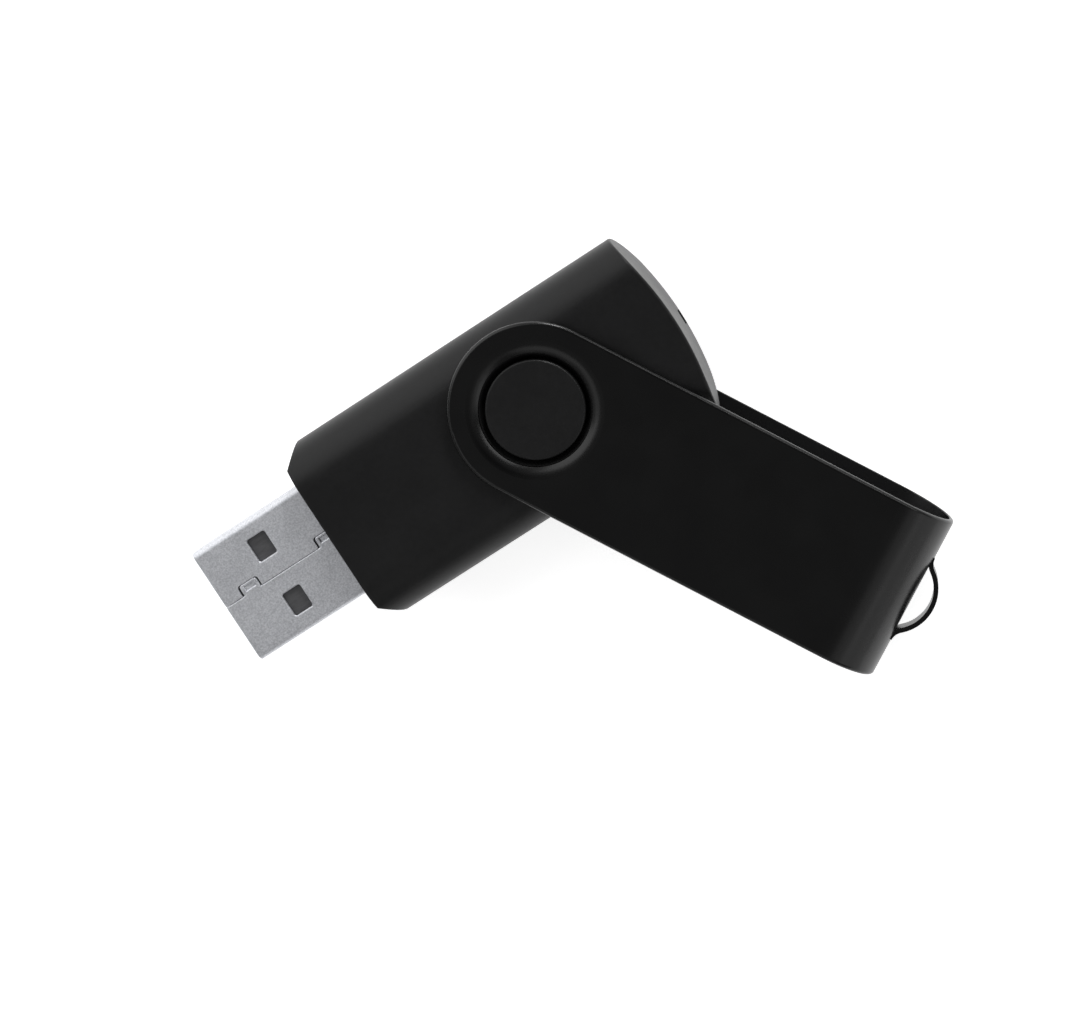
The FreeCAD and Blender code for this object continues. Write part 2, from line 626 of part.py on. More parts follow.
def plug_insulator():
    """Tongue under the seam side and a block that closes the shell's rear."""
    half_width = INNER_HALF_WIDTH - SEAT_FIT
    top = INNER_HALF_HEIGHT - SEAT_FIT
    corner = PLUG_CORNER - PLUG_WALL
    full = rounded_bar(PLUG_MOUTH + TONGUE_SETBACK, PLUG_END, half_width, top, corner)
    under_tongue = block(PLUG_MOUTH, PLUG_END - BLOCK_LENGTH, -FAR, FAR, -FAR, BOARD_TOP + CONTACT_PROUD)
    body = full.cut(under_tongue)
    groove_half = CONTACT_WIDTH / 2 + CONTACT_FIT
    for offset, setback in CONTACTS.values():
        groove = block(PLUG_MOUTH + setback - CONTACT_FIT, FAR, offset - groove_half, offset + groove_half,
                       BOARD_TOP - CONTACT_FIT, BOARD_TOP + CONTACT_THICKNESS + CONTACT_FIT)
        body = body.cut(groove)
    return body


def contact_solder():
    """A rounded bead over the end of each contact's tail."""
    beads = []
    tail = PLUG_END + TAIL_LENGTH
    half = CONTACT_WIDTH / 2 + SOLDER_MARGIN
    for offset, setback in CONTACTS.values():
        end = tail + SOLDER_MARGIN
        bead = block(end - SOLDER_LENGTH, end, offset - half, offset + half,
                     BOARD_TOP, BOARD_TOP + SOLDER_HEIGHT)
        upper = [edge for edge in bead.Edges if edge.BoundBox.ZMin > BOARD_TOP + SOLDER_HEIGHT / 2]
        bead = bead.makeFillet(SOLDER_MARGIN * 0.5, upper)
        beads.append(bead.cut(contact(offset, setback)))
    return beads


def shell_solder():
    """Fillet of solder on the board against each ear of the shell."""
    leg = EAR_HEIGHT / 2 + BOARD_UNDER / 2
    beads = []
    for side in (1, -1):
        wall = side * INNER_HALF_WIDTH
        corners = [Vec(BOARD_FRONT, wall, BOARD_TOP), Vec(BOARD_FRONT, wall - side * leg, BOARD_TOP),
                   Vec(BOARD_FRONT, wall, BOARD_TOP + leg)]
        beads.append(polygon_face(corners).extrude(Vec(EAR_LENGTH - 2 * ROOM, 0, 0)))
    return beads


# ---- circuit board and what it carries -------------------------------------------------------

def circuit_board():
    """Board with a neck between the shell's ears and holes for the locating pins."""
    half = BOARD_WIDTH / 2
    neck = block(BOARD_FRONT, BOARD_STEP + ROOM, -BOARD_NECK, BOARD_NECK, BOARD_UNDER, BOARD_TOP)
    wide = block(BOARD_STEP, BOARD_REAR, -half, half, BOARD_UNDER, BOARD_TOP)
    board = union([neck, wide])
    for side in (1, -1):
        board = board.cut(drum(PIN_RADIUS + ROOM / 2, -FAR, FAR, POST_X, side * POST_Y))
    return board


def under_board(shape):
    """Hang a shape, drawn standing on zero, from the underside of the board."""
    return turned_over(shape).translated(Vec(0, 0, BOARD_UNDER))


def chip_body(size, x, y, standoff):
    """Moulded body with softened upper edges and a round mark by the first lead."""
    body = standing_block(size, x, y, standoff)
    upper = [edge for edge in body.Edges if edge.BoundBox.ZMin > standoff + size[2] / 2]
    body = body.makeChamfer(STANDOFF, upper)
    inset = 2 * PIN_MARK_RADIUS + STANDOFF
    top = standoff + size[2]
    mark_x = x - size[0] / 2 + inset
    mark_y = y + size[1] / 2 - inset
    return body.cut(drum(PIN_MARK_RADIUS, top - PIN_MARK_DEPTH, top + 1, mark_x, mark_y))


def gull_wing(reach, height, width):
    """Lead that leaves the body at a height, bends down and ends in a flat foot; drawn along +X."""
    half = LEAD_THICKNESS / 2
    slope = LEAD_THICKNESS * 0.4
    outline = [(0, height - half), (LEAD_SHOULDER, height - half), (reach - LEAD_FOOT, 0), (reach, 0),
               (reach, LEAD_THICKNESS), (reach - LEAD_FOOT + slope, LEAD_THICKNESS),
               (LEAD_SHOULDER + slope, height + half), (0, height + half)]
    points = [Vec(x, -width / 2, z) for x, z in outline]
    return polygon_face(points).extrude(Vec(0, width, 0))


def lead_row(body, span, count, pitch, width, turn):
    """Row of leads along one side of a body centred on the origin."""
    across_x = turn % 180 == 0
    edge = (body[0] if across_x else body[1]) / 2
    reach = span / 2 - edge
    height = STANDOFF + body[2] / 2
    leads = []
    for index in range(count):
        along = (index - (count - 1) / 2) * pitch
        lead = gull_wing(reach, height, width).translated(Vec(edge, along, 0))
        leads.append(lead.rotated(Vec(0, 0, 0), Vec(0, 0, 1), turn))
    return leads


def placed(shapes, x, y):
    """The same shapes moved across the board."""
    return [shape.translated(Vec(x, y, 0)) for shape in shapes]


def crystal_can():
    """Flat metal can on a slightly wider base."""
    length, width, height = CRYSTAL_BODY
    base_height = height * 0.35
    base = standing_block((length, width, base_height), 0, 0, 0)
    lid = standing_block((length - ROOM, width - ROOM, height - base_height), 0, 0, base_height)
    upright = [edge for edge in lid.Edges if abs(edge.tangentAt(edge.FirstParameter).z) > 0.9]
    return union([base, lid.makeFillet(2 * ROOM, upright)])


def side_light():
    """Light emitting diode that shines along +X, with a round nosed lens."""
    length, width, height = LED_BODY
    base = standing_block((length / 2, width, height), -length / 4, 0, 0)
    lens = standing_block((length / 2, width / 2, height * 0.8), length / 4, 0, height * 0.1)
    nose = [edge for edge in lens.Edges
            if edge.CenterOfMass.x > length / 4 and abs(edge.tangentAt(edge.FirstParameter).z) > 0.9]
    return union([base, lens.makeFillet(width / 8, nose)])


def chip_part(size):
    """Two terminal chip part: a bar with slightly proud metal ends."""
    length, width, height = size
    bar = standing_block((length - CHIP_CAP, width, height), 0, 0, CHIP_CAP_PROUD)
    pieces = [bar]
    for side in (1, -1):
        cap_size = (CHIP_CAP, width + 2 * CHIP_CAP_PROUD, height + 2 * CHIP_CAP_PROUD)
        pieces.append(standing_block(cap_size, side * (length - CHIP_CAP) / 2, 0, 0))
    return union(pieces)


# ---- write every piece -----------------------------------------------------------------------

os.makedirs("parts", exist_ok=True)

save("housing_top", housing_top())
save("housing_bottom", housing_bottom())
save("led_light_pipe", led_light_pipe())
save("swivel_clip", swivel_clip())
save("plug_shell", plug_shell())
save("plug_insulator", plug_insulator())
for contact_name, (contact_offset, contact_setback) in CONTACTS.items():
    save(contact_name, contact(contact_offset, contact_setback))
save("contact_solder", contact_solder())
save("shell_solder", shell_solder())
save("circuit_board", circuit_board())

flash_leads = lead_row(FLASH_BODY, FLASH_SPAN, FLASH_LEADS, LEAD_PITCH, LEAD_WIDTH, 0)
flash_leads += lead_row(FLASH_BODY, FLASH_SPAN, FLASH_LEADS, LEAD_PITCH, LEAD_WIDTH, 180)
save("flash_memory_chip", chip_body(FLASH_BODY, FLASH_X, 0, STANDOFF))
save("flash_memory_leads", placed(flash_leads, FLASH_X, 0))

controller_leads = []
for quarter in (0, 90, 180, 270):
    controller_leads += lead_row(CONTROLLER_BODY, CONTROLLER_SPAN, CONTROLLER_LEADS, LEAD_PITCH,
                                 LEAD_WIDTH, quarter)
save("controller_chip", under_board(chip_body(CONTROLLER_BODY, CONTROLLER_X, 0, STANDOFF)))
save("controller_leads", [under_board(lead) for lead in placed(controller_leads, CONTROLLER_X, 0)])

half_row = BOARD_WIDTH / 4
save("crystal_oscillator", under_board(placed([crystal_can()], CRYSTAL_X, half_row)[0]))
regulator_leads = lead_row(REGULATOR_BODY, REGULATOR_SPAN, 2, 2 * REGULATOR_PITCH, 2 * LEAD_WIDTH, 90)
regulator_leads += lead_row(REGULATOR_BODY, REGULATOR_SPAN, 1, REGULATOR_PITCH, 2 * LEAD_WIDTH, 270)
save("voltage_regulator", under_board(standing_block(REGULATOR_BODY, CRYSTAL_X, -half_row, STANDOFF)))
save("regulator_leads", [under_board(lead) for lead in placed(regulator_leads, CRYSTAL_X, -half_row)])
led = side_light().translated(Vec(BOARD_REAR - LED_BODY[0] / 2, -SLOT_OFFSET, 0))
save("activity_led", under_board(led))

for number in range(4):
    row_y = (number - 1.5) * CHIP_ROW_PITCH
    resistor = chip_part(RESISTOR_BODY).translated(Vec(RESISTOR_X, row_y, 0))
    capacitor = chip_part(CAPACITOR_BODY).translated(Vec(CAPACITOR_X, row_y, 0))
    save(f"resistor_{number + 1}", under_board(resistor))
    save(f"capacitor_{number + 1}", under_board(capacitor))
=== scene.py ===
# %% [markdown]
# # A swivel memory stick, dressed for its portrait
# The stick is a black plastic housing with a bead-blasted steel plug at one end. A sheet-metal
# clip, painted black, is bent into a U round it and turns on a round boss, so that its closed
# bend covers the plug when the stick is in a pocket. The imported model already has every piece
# in its place. Here it gets its finishes, a table, light and a camera.

# %% Load the imported model
import math
import bpy
from mathutils import Matrix, Vector

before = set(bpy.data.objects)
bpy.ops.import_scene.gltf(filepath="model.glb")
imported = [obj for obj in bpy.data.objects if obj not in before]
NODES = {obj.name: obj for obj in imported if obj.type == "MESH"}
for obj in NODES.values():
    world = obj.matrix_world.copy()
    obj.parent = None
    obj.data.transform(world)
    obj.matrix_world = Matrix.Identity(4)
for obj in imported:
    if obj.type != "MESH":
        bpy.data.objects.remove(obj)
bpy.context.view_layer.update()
MM = 0.001

# %% [markdown]
# ## The camera
# The stick is looked at almost straight from above, a little from its rear end, with a long
# lens. A long lens keeps parallel edges nearly parallel, as in a catalogue picture. The camera
# is placed by the angles a photographer would use: how far round, how high, how far away, and
# which way along the table is up in the picture.

# %% Place the camera
AIM = Vector((-5.5, -8.33, 5.5)) * MM
CAMERA_ROUND = math.radians(23.58)
CAMERA_HEIGHT = math.radians(80.39)
CAMERA_DISTANCE = 378.64 * MM
PICTURE_UP = math.radians(56.69)
LENS = 133.92
SENSOR_WIDTH = 36            # this and LENS are in millimetres, as on a lens barrel
NEAREST, FARTHEST = 0.01, 20     # the camera sees what lies between these distances

away = Vector((math.cos(CAMERA_HEIGHT) * math.cos(CAMERA_ROUND),
               math.cos(CAMERA_HEIGHT) * math.sin(CAMERA_ROUND),
               math.sin(CAMERA_HEIGHT)))
up_hint = Vector((math.cos(PICTURE_UP), math.sin(PICTURE_UP), 0))
right = up_hint.cross(away).normalized()
picture_up = away.cross(right)
camera_data = bpy.data.cameras.new("camera")
camera_data.lens = LENS
camera_data.sensor_width = SENSOR_WIDTH
camera_data.clip_start = NEAREST
camera_data.clip_end = FARTHEST
camera = bpy.data.objects.new("camera", camera_data)
turn = Matrix((right, picture_up, away)).transposed().to_4x4()
camera.matrix_world = Matrix.Translation(AIM + away * CAMERA_DISTANCE) @ turn
bpy.context.scene.collection.objects.link(camera)
bpy.context.scene.camera = camera
print("camera at", [round(v, 4) for v in camera.matrix_world.translation])

# %% [markdown]
# ## The table and the light
# A black object on white is drawn by what it mirrors. A dim ceiling keeps the flat faces black,
# and lit panels at the sides draw the rounded edges. The camera itself is dark and stands in
# front of the ceiling, so faces that look straight at it turn nearly black. The table is a
# light table, a sheet of opal plastic lit from below, which photographers use to get a clean
# white ground with hardly any shadow. A world shader that fades from wall to ceiling makes the
# room, and area lamps make the panels. Lamps could do all of it, but a room light has less noise.

# %% The room
scene = bpy.context.scene
scene.view_settings.view_transform = "Standard"
CEILING = 0.23
WALL = 0.14
HORIZON = 0.60
# Sines of height angles: where the bright foot of the walls starts to fade, where it is gone,
# where the walls end and where the full ceiling starts
FOOT_FADES = 0.10
FOOT_GONE = 0.20
WALL_END = 0.84
CEILING_START = 0.94
SHADE_INNER = math.radians(9)    # the camera's shade is full this far from its middle
SHADE_OUTER = math.radians(16)   # and gone this far from it
SHADE_LIGHT = 0.03               # share of the ceiling's light that is left in it
world = bpy.data.worlds.new("studio")
scene.world = world
world.use_nodes = True
room = world.node_tree
room.nodes.clear()
where = room.nodes.new("ShaderNodeTexCoord")
split = room.nodes.new("ShaderNodeSeparateXYZ")
dome = room.nodes.new("ShaderNodeValToRGB")
background = room.nodes.new("ShaderNodeBackground")
room_out = room.nodes.new("ShaderNodeOutputWorld")
room.links.new(where.outputs["Generated"], split.inputs[0])
room.links.new(split.outputs["Z"], dome.inputs["Fac"])
room.links.new(dome.outputs["Color"], background.inputs["Color"])
beside_camera = room.nodes.new("ShaderNodeVectorMath")
beside_camera.operation = "DOT_PRODUCT"
beside_camera.inputs[1].default_value = away
shade = room.nodes.new("ShaderNodeMapRange")
shade.inputs["From Min"].default_value = math.cos(SHADE_OUTER)
shade.inputs["From Max"].default_value = math.cos(SHADE_INNER)
shade.inputs["To Min"].default_value = 1.0
shade.inputs["To Max"].default_value = SHADE_LIGHT
room.links.new(where.outputs["Generated"], beside_camera.inputs[0])
room.links.new(beside_camera.outputs["Value"], shade.inputs["Value"])
room.links.new(shade.outputs["Result"], background.inputs["Strength"])
room.links.new(background.outputs[0], room_out.inputs["Surface"])
LEVELS = ((FOOT_FADES, HORIZON), (FOOT_GONE, WALL), (WALL_END, WALL),
          (CEILING_START, CEILING), (1.0, CEILING))
steps = dome.color_ramp.elements
for sine, light in LEVELS[1:-1]:
    steps.new(sine)          # the ramp has its two ends already
for step, (sine, light) in zip(steps, LEVELS):
    step.position = sine
    step.color = (light, light, light, 1)
print("room light:", HORIZON, "at the horizon,", WALL, "on the walls,", CEILING, "overhead")

# %% The light table
TABLE_RADIUS = 1.5
TABLE_GLOW = 0.72
OPAL_WHITE = (0.86, 0.86, 0.86, 1)
OPAL_ROUGHNESS = 0.9
TABLE_DROP = 0.05 * MM       # a hair under the clip, so that the two faces are not in one plane
bpy.ops.mesh.primitive_circle_add(vertices=96, radius=TABLE_RADIUS, fill_type="NGON",
                                  location=(0, 0, -TABLE_DROP))
table = bpy.context.object
table.name = "light_table"
opal = bpy.data.materials.new("opal_sheet")
opal.use_nodes = True
opal_shader = opal.node_tree.nodes["Principled BSDF"]
opal_shader.inputs["Base Color"].default_value = OPAL_WHITE
opal_shader.inputs["Roughness"].default_value = OPAL_ROUGHNESS
opal_shader.inputs["Emission Color"].default_value = (1, 1, 1, 1)
opal_shader.inputs["Emission Strength"].default_value = TABLE_GLOW
table.data.materials.append(opal)
print("light table of", TABLE_RADIUS, "m radius, glow", TABLE_GLOW)

# %% The lamps
LAMP_DISTANCE = 0.8


def lit_panel(name, bearing, height, width, depth, brightness):
    """A flat lamp that faces the stick, from a bearing in plan and a height angle."""
    data = bpy.data.lights.new(name, "AREA")
    data.shape = "RECTANGLE"
    data.size = width
    data.size_y = depth
    data.energy = brightness * math.pi * width * depth
    lamp = bpy.data.objects.new(name, data)
    bearing, height = math.radians(bearing), math.radians(height)
    place = Vector((math.cos(height) * math.cos(bearing), math.cos(height) * math.sin(bearing),
                    math.sin(height))) * LAMP_DISTANCE
    lamp.location = AIM + place
    lamp.rotation_euler = place.to_track_quat("Z", "Y").to_euler()
    scene.collection.objects.link(lamp)
    print(name, "of", width, "by", depth, "m, brightness", brightness)


# name, bearing and height in degrees, width and depth in metres, brightness
lit_panel("window_panel", 108, 32, 0.8, 0.8, 1.75)
lit_panel("fill_panel", -58, 24, 0.5, 0.5, 0.9)
lit_panel("high_panel", -68, 48, 0.5, 0.4, 0.55)
lit_panel("low_panel", -140, 42, 0.6, 0.4, 0.7)
lit_panel("strip_lamp", 12, 36, 0.7, 0.14, 4.2)
lit_panel("left_panel", 168, 44, 0.5, 0.4, 0.7)
lit_panel("spark_lamp", 49, 16, 0.16, 0.16, 34)

# %% [markdown]
# ## Tools for finishes
# Every finish is one shader with a few noise patterns in real sizes. The patterns are fixed to
# the piece itself, so they stay put when the clip turns. Small helpers keep the finishes short.
# The first ones start a material, make a noise of a given grain size and turn it into other
# numbers or colours. Three more then use it for the tones, the sheen and the relief.

# %% Helpers for finishes
WHOLE = (0.0, 1.0)
WIDE = (0.3, 0.7)            # nearly all values of a noise lie in this band
NARROW = (0.35, 0.65)        # and most of them in this one
MIX_FIRST, MIX_SECOND, MIX_RESULT = 6, 7, 2    # the colour sockets of a mix node


def start_finish(name):
    """An empty material with its shader, and a coordinate node fixed to the piece."""
    material = bpy.data.materials.new(name)
    material.use_nodes = True
    tree = material.node_tree
    shader = tree.nodes["Principled BSDF"]
    place = tree.nodes.new("ShaderNodeTexCoord").outputs["Object"]
    return material, tree, shader, place


def noise(tree, place, size, detail=2.0, stretch=None):
    """A cloudy pattern whose grains are about size metres across."""
    node = tree.nodes.new("ShaderNodeTexNoise")
    node.inputs["Scale"].default_value = 1 / size
    node.inputs["Detail"].default_value = detail
    if stretch:
        mapping = tree.nodes.new("ShaderNodeMapping")
        mapping.inputs["Scale"].default_value = stretch
        tree.links.new(place, mapping.inputs["Vector"])
        place = mapping.outputs["Vector"]
    tree.links.new(place, node.inputs["Vector"])
    return node.outputs["Fac"]


def spread(tree, value, low, high, band):
    """Goes from low to high as a pattern goes through a band of values."""
    node = tree.nodes.new("ShaderNodeMapRange")
    for socket, number in zip(("From Min", "From Max", "To Min", "To Max"), (*band, low, high)):
        node.inputs[socket].default_value = number
    tree.links.new(value, node.inputs["Value"])
    return node.outputs["Result"]


def two_tone(tree, value, first, second, band):
    """Fades from one colour to another as a pattern goes through a band of values."""
    node = tree.nodes.new("ShaderNodeValToRGB")
    for element, position, colour in zip(node.color_ramp.elements, band, (first, second)):
        element.position = position
        element.color = (*colour, 1)
    tree.links.new(value, node.inputs["Fac"])
    return node.outputs["Color"]


def combine(tree, operation, first, second=None):
    """Calculates with one pattern, with two, or with a pattern and a number."""
    node = tree.nodes.new("ShaderNodeMath")
    node.operation = operation
    tree.links.new(first, node.inputs[0])
    if isinstance(second, (int, float)):
        node.inputs[1].default_value = second
    elif second is not None:
        tree.links.new(second, node.inputs[1])
    return node.outputs[0]


def mix(tree, first, second, share):
    """Two patterns together: the second one has the given share."""
    return combine(tree, "ADD", combine(tree, "MULTIPLY", first, 1 - share),
                   combine(tree, "MULTIPLY", second, share))


def blend_colours(tree, pattern, colour, other):
    """Goes from a patterned colour to one plain colour where the pattern is white."""
    node = tree.nodes.new("ShaderNodeMix")
    node.data_type = "RGBA"
    tree.links.new(pattern, node.inputs["Factor"])
    tree.links.new(colour, node.inputs[MIX_FIRST])
    node.inputs[MIX_SECOND].default_value = (*other, 1)
    return node.outputs[MIX_RESULT]


def set_tones(tree, shader, value, first, second, band):
    """Gives the finish two tones that follow a pattern."""
    tree.links.new(two_tone(tree, value, first, second, band), shader.inputs["Base Color"])


def set_sheen(tree, shader, value, smooth, rough, band):
    """Lets the roughness follow a pattern."""
    tree.links.new(spread(tree, value, smooth, rough, band), shader.inputs["Roughness"])


def set_relief(tree, shader, value, depth, strength):
    """Turns a pattern into bumps of the given depth in metres."""
    node = tree.nodes.new("ShaderNodeBump")
    node.inputs["Distance"].default_value = depth
    node.inputs["Strength"].default_value = strength
    tree.links.new(value, node.inputs["Height"])
    tree.links.new(node.outputs["Normal"], shader.inputs["Normal"])


# %% Helpers for edges, threads and tracks
BEVEL_SAMPLES = 4
WAVE_REPEAT = math.pi / 10   # distance between the waves of a wave node whose scale is 1


def edge_pattern(tree, radius, sharpness):
    """White along sharp edges, black elsewhere."""
    soft = tree.nodes.new("ShaderNodeBevel")
    soft.samples = BEVEL_SAMPLES
    soft.inputs["Radius"].default_value = radius
    plain = tree.nodes.new("ShaderNodeNewGeometry")
    agree = tree.nodes.new("ShaderNodeVectorMath")
    agree.operation = "DOT_PRODUCT"
    tree.links.new(soft.outputs["Normal"], agree.inputs[0])
    tree.links.new(plain.outputs["Normal"], agree.inputs[1])
    return spread(tree, agree.outputs["Value"], 1.0, 0.0, (1 - sharpness, 1.0))


def waves(tree, place, axis, pitch):
    """Even waves along one axis, a pitch apart."""
    node = tree.nodes.new("ShaderNodeTexWave")
    node.bands_direction = axis
    node.inputs["Scale"].default_value = WAVE_REPEAT / pitch
    tree.links.new(place, node.inputs["Vector"])
    return node.outputs["Fac"]


def cell_borders(tree, place, size):
    """Small near the borders of cells of about this size."""
    node = tree.nodes.new("ShaderNodeTexVoronoi")
    node.feature = "DISTANCE_TO_EDGE"
    node.inputs["Scale"].default_value = 1 / size
    tree.links.new(place, node.inputs["Vector"])
    return node.outputs["Distance"]


finished = set()


def give(material, *names):
    """Puts a finish on the named pieces."""
    for name in names:
        for slot in NODES[name].material_slots:
            slot.material = material
    finished.update(names)
    print("finish", material.name, "on", len(names), "pieces")

# %% [markdown]
# ## The black plastic shell
# The two housing halves are moulded in black plastic. The mould is spark-eroded, which leaves
# a very fine even grain: the surface is matte from above but still mirrors the white table at
# a glancing angle. Handling leaves cloudy patches that are a little smoother. A painted sheet
# could be wrapped round it, but noise at the true grain size has no seams from any side.

# %% Shell plastic
shell, tree, shader, place = start_finish("shell_plastic")
shader.inputs["Specular IOR Level"].default_value = 0.19
handled = noise(tree, place, 6 * MM, 3)
mottle = noise(tree, place, 0.5 * MM, 4)
grain = noise(tree, place, 0.12 * MM, 2)
patchy = mix(tree, handled, mottle, 0.4)
set_tones(tree, shader, patchy, (0.0098, 0.0098, 0.0100), (0.0122, 0.0122, 0.0125), NARROW)
set_sheen(tree, shader, patchy, 0.35, 0.43, NARROW)
set_relief(tree, shader, grain, 0.008 * MM, 0.6)
give(shell, "housing_top", "housing_bottom")

# %% [markdown]
# ## The light pipe
# A clear plastic rod carries the glow of a small lamp on the board out to a slot in the rear
# face. It is glass-like, but moulded, so it has faint flow lines and a slightly frosted end.

# %% Light pipe
pipe, tree, shader, place = start_finish("light_pipe")
shader.inputs["Base Color"].default_value = (0.78, 0.80, 0.82, 1)
shader.inputs["IOR"].default_value = 1.49
shader.inputs["Transmission Weight"].default_value = 0.85
flow = noise(tree, place, 0.4 * MM, 2, stretch=(0.2, 1, 1))
set_sheen(tree, shader, flow, 0.12, 0.30, WIDE)
set_relief(tree, shader, flow, 0.01 * MM, 0.4)
give(pipe, "led_light_pipe")

# %% [markdown]
# ## The painted clip
# The clip is pressed from steel sheet and painted black. Paint flows together before it dries,
# so it is smoother than the plastic, with a faint orange-peel ripple. It draws back from
# sharp edges as it dries, and there it is thin, paler and a little worn. The paler line along
# the edges is also a painted highlight, standing in for the light that the rounded edges catch.
# The spray hardly reaches the inside of the U, where the black is duller. A face is on the
# inside when it looks towards the middle of the clip's height, so the height times the upward
# part of the face's direction tells the two sides apart. The clip only turns about a vertical
# axis, which changes neither.

# %% Clip paint
EDGE_LINE_WIDTH = 0.10 * MM       # how far from an edge the paint is thin
EDGE_SHARPNESS = 0.25        # how far the surface has to bend to count as an edge
INSIDE_BAND = (-0.12, -0.02)     # height times direction, from quite inside to not inside
DULL_BLACK = (0.014, 0.014, 0.0145)
# paler black along the edges: thin worn paint together with a painted edge highlight
EDGE_WEAR_AND_HIGHLIGHT_BLACK = (0.022, 0.022, 0.023)
paint, tree, shader, place = start_finish("clip_paint")
shader.inputs["Specular IOR Level"].default_value = 0.36
drift = noise(tree, place, 5 * MM, 3)
peel = noise(tree, place, 0.35 * MM, 1)
dust = noise(tree, place, 0.08 * MM, 2)
# where the paint turns paler along the edges: partly wear, partly a painted highlight on the
# rounded edges
worn_edge_and_highlight = combine(tree, "MULTIPLY", edge_pattern(tree, EDGE_LINE_WIDTH, EDGE_SHARPNESS),
               spread(tree, peel, 0.5, 1.0, NARROW))
gloss_black = two_tone(tree, drift, (0.0016, 0.0016, 0.0017), (0.0024, 0.0024, 0.0025),
                       (0.35, 0.7))
height = tree.nodes.new("ShaderNodeSeparateXYZ")
tree.links.new(tree.nodes["Texture Coordinate"].outputs["Generated"], height.inputs[0])
facing = tree.nodes.new("ShaderNodeSeparateXYZ")
tree.links.new(tree.nodes.new("ShaderNodeNewGeometry").outputs["Normal"], facing.inputs[0])
above_middle = combine(tree, "SUBTRACT", height.outputs["Z"], 0.5)
outwards = combine(tree, "MULTIPLY", above_middle, facing.outputs["Z"])
inside = spread(tree, outwards, 1.0, 0.0, INSIDE_BAND)
body_colour = blend_colours(tree, inside, gloss_black, DULL_BLACK)
tree.links.new(blend_colours(tree, worn_edge_and_highlight, body_colour, EDGE_WEAR_AND_HIGHLIGHT_BLACK), shader.inputs["Base Color"])
set_sheen(tree, shader, drift, 0.25, 0.30, WIDE)
set_relief(tree, shader, mix(tree, peel, dust, 0.12), 0.006 * MM, 0.25)
give(paint, "swivel_clip")

# %% [markdown]
# ## The steel plug
# The plug shell is rolled from plated steel and bead-blasted to a soft grey. Blasting leaves
# tiny round dents, so the metal scatters light widely and sparkles a little where a dent
# faces a lamp. Metal has no colour of its own under the shine, so the base colour is the
# colour of its reflections, a slightly blue grey.

# %% Plug steel
steel, tree, shader, place = start_finish("plug_steel")
shader.inputs["Metallic"].default_value = 1.0
dents = noise(tree, place, 0.15 * MM, 2)
pits = noise(tree, place, 0.09 * MM, 1)
bands = noise(tree, place, 3 * MM, 2)
blasted = mix(tree, dents, bands, 0.2)
set_tones(tree, shader, blasted, (0.53, 0.54, 0.57), (0.76, 0.77, 0.80), (0.34, 0.66))
set_sheen(tree, shader, blasted, 0.50, 0.60, WIDE)
set_relief(tree, shader, mix(tree, dents, pits, 0.35), 0.015 * MM, 0.7)
give(steel, "plug_shell")

# %% [markdown]
# ## Inside the plug
# The tongue is black glass-filled plastic. It shows through the four latch windows and in the
# mouth. On it lie four gold-plated springs that have been wiped by sockets, which leaves fine
# scratches along the way the plug slides.

# %% Tongue and contacts
tongue, tree, shader, place = start_finish("insulator_plastic")
fibre = noise(tree, place, 0.25 * MM, 3, stretch=(0.25, 1, 1))
speck = noise(tree, place, 0.07 * MM, 2)
set_tones(tree, shader, mix(tree, fibre, speck, 0.4), (0.052, 0.052, 0.055),
          (0.085, 0.085, 0.089), WIDE)
set_sheen(tree, shader, fibre, 0.42, 0.58, WIDE)
set_relief(tree, shader, mix(tree, fibre, speck, 0.5), 0.01 * MM, 0.5)
give(tongue, "plug_insulator")

gold, tree, shader, place = start_finish("contact_plating")
shader.inputs["Metallic"].default_value = 1.0
wipes = noise(tree, place, 0.05 * MM, 3, stretch=(0.04, 1, 1))
tint = noise(tree, place, 0.8 * MM, 2)
set_tones(tree, shader, mix(tree, tint, wipes, 0.3), (0.78, 0.52, 0.20), (0.92, 0.70, 0.34),
          NARROW)
set_sheen(tree, shader, wipes, 0.16, 0.38, WIDE)
set_relief(tree, shader, wipes, 0.004 * MM, 0.5)
give(gold, "contact_vbus", "contact_data_minus", "contact_data_plus", "contact_ground")

# %% [markdown]
# ## The board and what is soldered to it
# The circuit board is glass cloth in resin under a green varnish. The cloth's weave shows as a
# fine ripple, and copper tracks show through the varnish as paler lines. Solder freezes into
# smooth blobs with a frosty bloom. The weave is two sets of waves at right angles, and the
# tracks are the thin borders between the cells of a random pattern.

# %% Board laminate and solder
WEAVE_PITCH = 0.45 * MM
TRACK_SPACING = 1.6 * MM
TRACK_EDGE = (0.06, 0.10)    # how far from a cell's border a track ends, in cells
TRACK_GREEN = (0.030, 0.190, 0.075)
laminate, tree, shader, place = start_finish("board_laminate")
shader.inputs["Coat Weight"].default_value = 0.4
shader.inputs["Coat Roughness"].default_value = 0.18
warp = waves(tree, place, "X", WEAVE_PITCH)
weft = waves(tree, place, "Y", WEAVE_PITCH)
cloth = combine(tree, "MULTIPLY", warp, weft)
tracks = spread(tree, cell_borders(tree, place, TRACK_SPACING), 1.0, 0.0, TRACK_EDGE)
varnish = two_tone(tree, noise(tree, place, 2 * MM, 3), (0.006, 0.060, 0.024),
                   (0.010, 0.085, 0.034), WIDE)
tree.links.new(blend_colours(tree, tracks, varnish, TRACK_GREEN), shader.inputs["Base Color"])
set_sheen(tree, shader, cloth, 0.30, 0.42, WHOLE)
set_relief(tree, shader, combine(tree, "ADD", combine(tree, "MULTIPLY", cloth, 0.3), tracks),
           0.012 * MM, 0.6)
give(laminate, "circuit_board")

